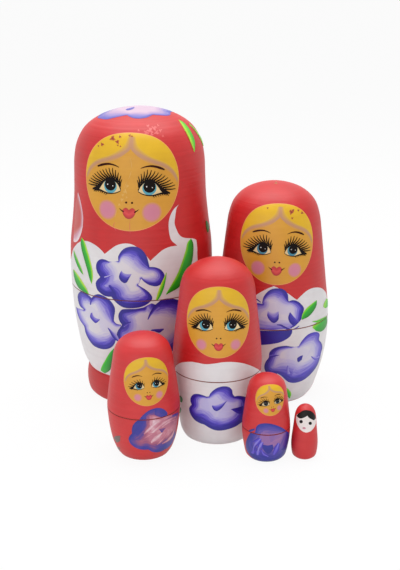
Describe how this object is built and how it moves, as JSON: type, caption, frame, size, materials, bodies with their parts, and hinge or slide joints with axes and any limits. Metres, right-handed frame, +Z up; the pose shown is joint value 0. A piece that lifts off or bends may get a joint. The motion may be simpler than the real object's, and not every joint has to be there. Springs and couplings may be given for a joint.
{
  "type": "matryoshka nesting doll set",
  "caption": "Turned and painted wooden nesting dolls standing in a group; each hollow doll twists and lifts open at a spigot joint to hold the next smaller one.",
  "frame": {"origin": "centre of the group's floor box, on the table", "axes": "+Z up, -Y towards the viewer that the dolls face, +X to that viewer's right"},
  "size_m": [0.1336, 0.1268, 0.149],
  "materials": {
    "red_lacquer": "coral red paint under gloss lacquer",
    "white_lacquer": "greyish white paint under gloss lacquer",
    "skin_paint": "warm ochre paint under gloss lacquer",
    "hair_paint": "golden yellow paint under gloss lacquer",
    "violet_paint": "violet paint shaded to white, under gloss lacquer",
    "leaf_paint": "leaf green paint under gloss lacquer",
    "pink_paint": "pink paint under gloss lacquer",
    "line_paint": "fine black brush lines under gloss lacquer",
    "bare_wood": "bare turned limewood"
  },
  "bodies": {
    "doll_6": {"doll_6_solid": "red_lacquer"},
    "doll_1_top": {"doll_1_top": "red_lacquer"},
    "doll_1_base": {"doll_1_base": "white_lacquer"},
    "doll_2_top": {"doll_2_top": "red_lacquer"},
    "doll_2_base": {"doll_2_base": "white_lacquer"},
    "doll_3_top": {"doll_3_top": "red_lacquer"},
    "doll_3_base": {"doll_3_base": "white_lacquer"},
    "doll_4_top": {"doll_4_top": "red_lacquer"},
    "doll_4_base": {"doll_4_base": "red_lacquer"},
    "doll_5_top": {"doll_5_top": "red_lacquer"},
    "doll_5_base": {"doll_5_base": "red_lacquer"}
  },
  "joints": [
    {"name": "doll_1_lift", "type": "slide", "parent": "doll_6", "child": "doll_1_top", "axis": [0, 0, 1], "range_m": [0, 0.07]},
    {"name": "doll_1_twist", "type": "hinge", "parent": "doll_6", "child": "doll_1_base", "pos_m": [-0.03027, 0.02687, 0], "axis": [0, 0, 1], "continuous": true},
    {"name": "doll_2_lift", "type": "slide", "parent": "doll_6", "child": "doll_2_top", "axis": [0, 0, 1], "range_m": [0, 0.055]},
    {"name": "doll_2_twist", "type": "hinge", "parent": "doll_6", "child": "doll_2_base", "pos_m": [0.03757, 0.02213, 0], "axis": [0, 0, 1], "continuous": true},
    {"name": "doll_3_lift", "type": "slide", "parent": "doll_6", "child": "doll_3_top", "axis": [0, 0, 1], "range_m": [0, 0.035]},
    {"name": "doll_3_twist", "type": "hinge", "parent": "doll_6", "child": "doll_3_base", "pos_m": [0.00816, -0.02682, 0], "axis": [0, 0, 1], "continuous": true},
    {"name": "doll_4_lift", "type": "slide", "parent": "doll_6", "child": "doll_4_top", "axis": [0, 0, 1], "range_m": [0, 0.025]},
    {"name": "doll_4_twist", "type": "hinge", "parent": "doll_6", "child": "doll_4_base", "pos_m": [-0.02605, -0.04657, 0], "axis": [0, 0, 1], "continuous": true},
    {"name": "doll_5_lift", "type": "slide", "parent": "doll_6", "child": "doll_5_top", "axis": [0, 0, 1], "range_m": [0, 0.018]},
    {"name": "doll_5_twist", "type": "hinge", "parent": "doll_6", "child": "doll_5_base", "pos_m": [0.03044, -0.05157, 0], "axis": [0, 0, 1], "continuous": true}
  ]
}
